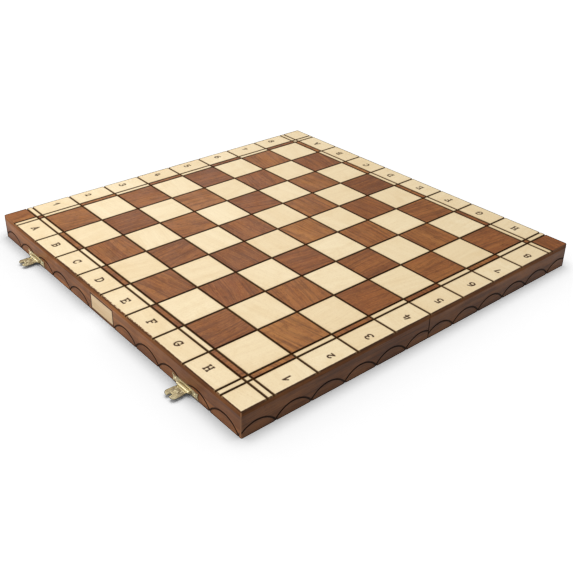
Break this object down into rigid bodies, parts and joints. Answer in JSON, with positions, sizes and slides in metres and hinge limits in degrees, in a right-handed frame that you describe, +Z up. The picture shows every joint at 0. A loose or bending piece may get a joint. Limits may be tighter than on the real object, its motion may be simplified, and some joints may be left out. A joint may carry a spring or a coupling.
{
  "type": "folding chess board",
  "caption": "Wooden chess board hinged across the middle, with inlaid squares, carved rails and brass latches; it closes into a box that stores the chessmen.",
  "frame": {"origin": "middle of the fold line, on the plane of the tray rims that the open board rests on", "axes": "+X along the files from A to H, +Y along the ranks from 1 to 8, +Z up out of the playing surface"},
  "size_m": [0.462, 0.4842, 0.0296],
  "materials": {
    "rail_wood": "brown stain, satin lacquer",
    "light_wood": "pale sycamore, satin lacquer",
    "dark_wood": "mahogany, satin lacquer",
    "panel_wood": "plywood, burnt dark in the grooves, stained edges",
    "plaque_wood": "pale veneer, satin lacquer",
    "felt": "green wool felt",
    "brass": "pale stamped brass"
  },
  "bodies": {
    "near_half": {"blank_plaque": "plaque_wood", "latch_nails": "brass", "left_hinge_near_leaf": "brass", "left_hinge_pin": "brass", "left_latch_pin": "brass", "left_latch_plate": "brass", "near_coordinate_cells": "light_wood", "near_dark_corner": "dark_wood", "near_dark_squares": "dark_wood", "near_dark_strips": "dark_wood", "near_felt_lining": "felt", "near_front_rail": "rail_wood", "near_hinge_screws": "brass", "near_left_rail": "rail_wood", "near_light_corner": "light_wood", "near_light_squares": "light_wood", "near_light_strips": "light_wood", "near_panel": "panel_wood", "near_right_rail": "rail_wood", "near_spine_rail": "rail_wood", "right_hinge_near_leaf": "brass", "right_hinge_pin": "brass", "right_latch_pin": "brass", "right_latch_plate": "brass"},
    "far_half": {"catch_nails": "brass", "far_coordinate_cells": "light_wood", "far_dark_corner": "dark_wood", "far_dark_squares": "dark_wood", "far_dark_strips": "dark_wood", "far_felt_lining": "felt", "far_hinge_screws": "brass", "far_left_rail": "rail_wood", "far_light_corner": "light_wood", "far_light_squares": "light_wood", "far_light_strips": "light_wood", "far_panel": "panel_wood", "far_rear_rail": "rail_wood", "far_right_rail": "rail_wood", "far_spine_rail": "rail_wood", "left_catch": "brass", "left_hinge_far_leaf": "brass", "right_catch": "brass", "right_hinge_far_leaf": "brass"},
    "left_latch": {"left_latch_tongue": "brass"},
    "right_latch": {"right_latch_tongue": "brass"}
  },
  "joints": [
    {"name": "fold", "type": "hinge", "parent": "near_half", "child": "far_half", "pos_m": [0, 0, 0], "axis": [-1, 0, 0], "range_deg": [0, 180]},
    {"name": "left_latch_swing", "type": "hinge", "parent": "near_half", "child": "left_latch", "pos_m": [-0.15, -0.2335, 0.0049], "axis": [1, 0, 0], "range_deg": [-90, 90]},
    {"name": "right_latch_swing", "type": "hinge", "parent": "near_half", "child": "right_latch", "pos_m": [0.15, -0.2335, 0.0049], "axis": [1, 0, 0], "range_deg": [-90, 90]}
  ]
}
